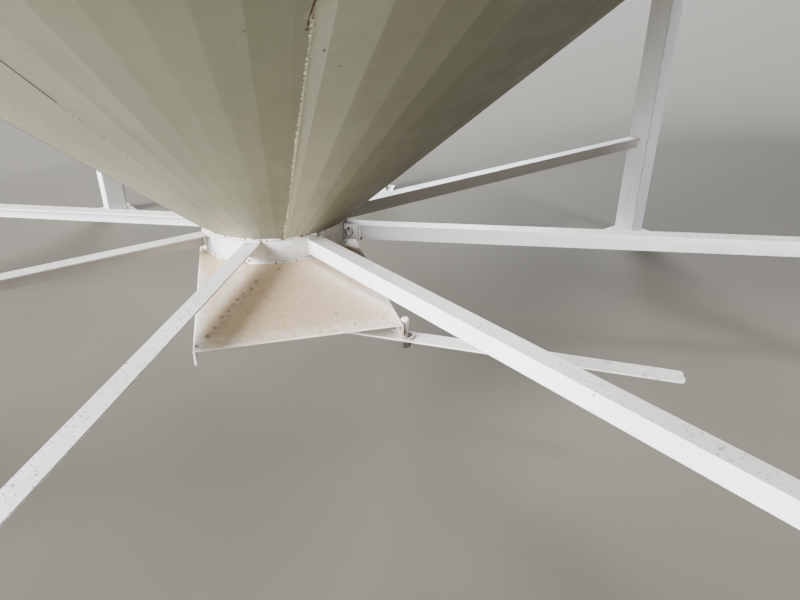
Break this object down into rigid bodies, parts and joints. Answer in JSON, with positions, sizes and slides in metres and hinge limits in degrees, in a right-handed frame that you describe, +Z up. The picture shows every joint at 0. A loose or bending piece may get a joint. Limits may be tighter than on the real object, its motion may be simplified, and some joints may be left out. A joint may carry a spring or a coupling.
{
  "type": "grain silo hopper base",
  "caption": "Cone hopper base of a grain silo: bent steel sheets in a rim ring on legs, radial struts, outlet collar and lever slide gate.",
  "frame": {"origin": "on the ground under the cone's axis", "axes": "+Z up, -Y the way the slide gate opens, +X the lever's side"},
  "size_m": [4.5, 4.5, 2.1681],
  "materials": {
    "cone_paint": "satin",
    "frame_paint": "satin",
    "gate_paint": "satin",
    "bare_steel": "dull"
  },
  "bodies": {
    "base": {"cone_sheet_1": "cone_paint", "cone_sheet_2": "cone_paint", "cone_sheet_3": "cone_paint", "cone_sheet_4": "cone_paint", "cone_sheet_5": "cone_paint", "cone_sheet_6": "cone_paint", "cone_sheet_7": "cone_paint", "cone_sheet_8": "cone_paint", "cone_sheet_9": "cone_paint", "cone_sheet_10": "cone_paint", "cone_sheet_11": "cone_paint", "rim_ring_back_right": "frame_paint", "rim_ring_back_left": "frame_paint", "rim_ring_front_left": "frame_paint", "rim_ring_front_right": "frame_paint", "leg_1": "frame_paint", "leg_2": "frame_paint", "leg_3": "frame_paint", "leg_4": "frame_paint", "leg_5": "frame_paint", "leg_6": "frame_paint", "leg_7": "frame_paint", "leg_8": "frame_paint", "strut_1": "frame_paint", "strut_2": "frame_paint", "strut_3": "frame_paint", "strut_4": "frame_paint", "strut_5": "frame_paint", "strut_6": "frame_paint", "strut_7": "frame_paint", "strut_8": "frame_paint", "outlet_collar": "frame_paint", "collar_lug": "frame_paint", "gate_housing": "gate_paint", "slide_rail_left": "gate_paint", "slide_rail_right": "gate_paint", "pivot_pin": "bare_steel", "pivot_nut": "bare_steel"},
    "slide_gate": {"slide_plate": "gate_paint", "slot_bracket": "gate_paint"},
    "lever_arm": {"lever": "frame_paint", "lever_stud": "bare_steel", "pivot_washer": "frame_paint"}
  },
  "joints": [
    {"name": "lever_pivot", "type": "hinge", "parent": "base", "child": "lever_arm", "pos_m": [0.2753, -0.72, 0.418], "axis": [0, 0, 1], "range_deg": [0, 62.8]},
    {"name": "gate_slide", "type": "slide", "parent": "base", "child": "slide_gate", "axis": [0, -1, 0], "range_m": [0, 0.495]}
  ],
  "couplings": [
    {"joint": "gate_slide", "follows": "lever_pivot", "m_per_rad": 0.4516}
  ]
}
